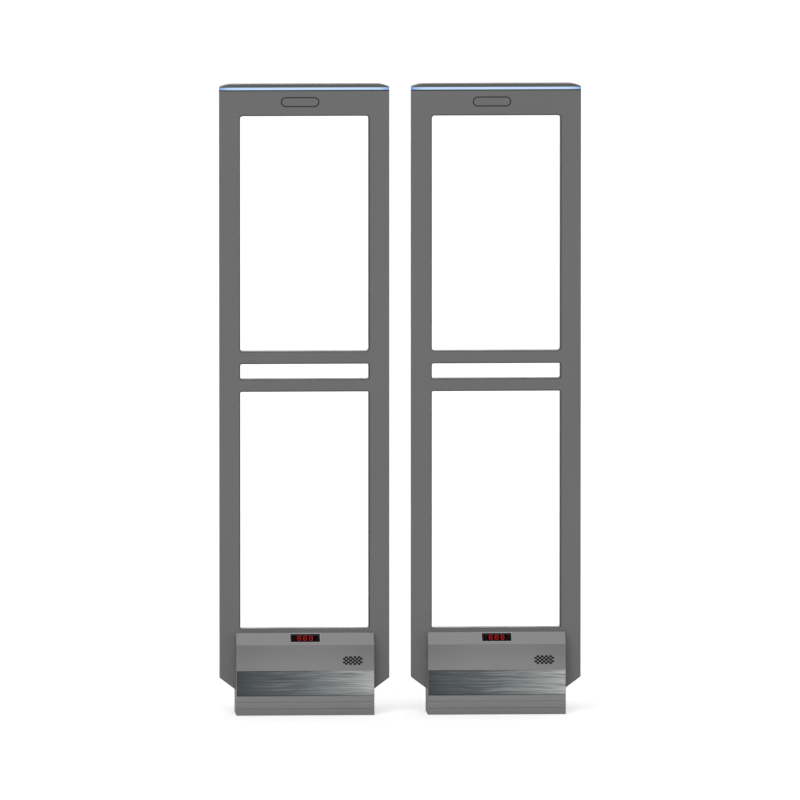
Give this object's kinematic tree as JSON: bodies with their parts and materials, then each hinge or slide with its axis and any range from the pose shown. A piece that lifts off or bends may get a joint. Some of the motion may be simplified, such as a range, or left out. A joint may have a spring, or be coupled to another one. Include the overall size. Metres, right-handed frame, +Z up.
{
  "type": "security gate",
  "caption": "Pair of grey anti-theft antenna pedestals: open rectangular frames with a lit top strip, on boxed bases with a counter display, speaker grille and brushed kick plates.",
  "frame": {"origin": "on the floor, midway between the two pedestals and midway through their depth", "axes": "+Z up, -Y towards the side with the displays, X across the gateway"},
  "size_m": [0.916, 0.1208, 1.6],
  "materials": {
    "frame_plastic": "fine moulded texture, dark grey",
    "cover_plastic": "fine moulded texture, mid grey",
    "cap_plastic": "fine moulded texture, dark grey",
    "light_plastic": "frosted pale blue diffuser",
    "circuit_board": "green solder mask",
    "copper_coil": "taped bundle of enamelled copper wire",
    "zinc_steel": "zinc plated",
    "black_steel": "black powder coat",
    "stainless": "brushed along its length",
    "spring_steel": "spring steel",
    "black_rubber": "smooth",
    "window_acrylic": "polished smoked acrylic",
    "black_plastic": "moulded",
    "red_plastic": "moulded",
    "speaker_paper": "pressed paper cone",
    "supply_case": "folded sheet",
    "led_body": "clear lens",
    "white_nylon": "natural nylon",
    "brass": "turned",
    "component_plastic": "moulded component bodies",
    "terminal_plastic": "moulded terminal housing"
  },
  "bodies": {
    "pedestals": {"left_front_frame_shell": "frame_plastic", "left_rear_frame_shell": "frame_plastic", "left_badge_plate": "frame_plastic", "left_light_diffuser": "light_plastic", "left_led_board": "circuit_board", "left_top_cap": "cap_plastic", "left_upper_antenna_coil": "copper_coil", "left_lower_antenna_coil": "copper_coil", "left_base_plate": "zinc_steel", "left_upright_bracket": "black_steel", "left_cable_grommet": "black_rubber", "left_plinth": "cover_plastic", "left_display_module": "black_plastic", "left_speaker": "black_steel", "left_speaker_cone": "speaker_paper", "left_control_board": "circuit_board", "left_power_switch_body": "black_plastic", "left_power_supply": "supply_case", "left_stile_leads": "black_rubber", "right_front_frame_shell": "frame_plastic", "right_rear_frame_shell": "frame_plastic", "right_badge_plate": "frame_plastic", "right_light_diffuser": "light_plastic", "right_led_board": "circuit_board", "right_top_cap": "cap_plastic", "right_upper_antenna_coil": "copper_coil", "right_lower_antenna_coil": "copper_coil", "right_base_plate": "zinc_steel", "right_upright_bracket": "black_steel", "right_cable_grommet": "black_rubber", "right_plinth": "cover_plastic", "right_display_module": "black_plastic", "right_speaker": "black_steel", "right_speaker_cone": "speaker_paper", "right_control_board": "circuit_board", "right_power_switch_body": "black_plastic", "right_power_supply": "supply_case", "right_stile_leads": "black_rubber", "frame_screws": "zinc_steel", "frame_bolts": "zinc_steel", "led_chips": "led_body", "coil_clips": "white_nylon", "cover_clips": "spring_steel", "board_standoffs": "brass", "board_components": "component_plastic", "terminal_blocks": "terminal_plastic"},
    "left_front_cover": {"left_front_cover": "cover_plastic", "left_front_kick_plate": "stainless", "left_display_window": "window_acrylic"},
    "left_rear_cover": {"left_rear_cover": "cover_plastic", "left_rear_kick_plate": "stainless"},
    "left_volume_knob": {"left_volume_knob": "black_plastic"},
    "left_power_rocker": {"left_power_rocker": "red_plastic"},
    "right_front_cover": {"right_front_cover": "cover_plastic", "right_front_kick_plate": "stainless", "right_display_window": "window_acrylic"},
    "right_rear_cover": {"right_rear_cover": "cover_plastic", "right_rear_kick_plate": "stainless"},
    "right_volume_knob": {"right_volume_knob": "black_plastic"},
    "right_power_rocker": {"right_power_rocker": "red_plastic"}
  },
  "joints": [
    {"name": "left_front_cover_pull", "type": "slide", "parent": "pedestals", "child": "left_front_cover", "axis": [0, -1, 0], "range_m": [0, 0.12]},
    {"name": "left_rear_cover_pull", "type": "slide", "parent": "pedestals", "child": "left_rear_cover", "axis": [0, 1, 0], "range_m": [0, 0.12]},
    {"name": "left_volume_turn", "type": "hinge", "parent": "pedestals", "child": "left_volume_knob", "pos_m": [-0.1935, -0.045, 0.0955], "axis": [0, -1, 0], "range_deg": [-150, 150]},
    {"name": "left_power_rock", "type": "hinge", "parent": "pedestals", "child": "left_power_rocker", "pos_m": [-0.3815, -0.0406, 0.0995], "axis": [1, 0, 0], "range_deg": [-16, 0]},
    {"name": "right_front_cover_pull", "type": "slide", "parent": "pedestals", "child": "right_front_cover", "axis": [0, -1, 0], "range_m": [0, 0.12]},
    {"name": "right_rear_cover_pull", "type": "slide", "parent": "pedestals", "child": "right_rear_cover", "axis": [0, 1, 0], "range_m": [0, 0.12]},
    {"name": "right_volume_turn", "type": "hinge", "parent": "pedestals", "child": "right_volume_knob", "pos_m": [0.2925, -0.045, 0.0955], "axis": [0, -1, 0], "range_deg": [-150, 150]},
    {"name": "right_power_rock", "type": "hinge", "parent": "pedestals", "child": "right_power_rocker", "pos_m": [0.1045, -0.0406, 0.0995], "axis": [1, 0, 0], "range_deg": [-16, 0]}
  ]
}
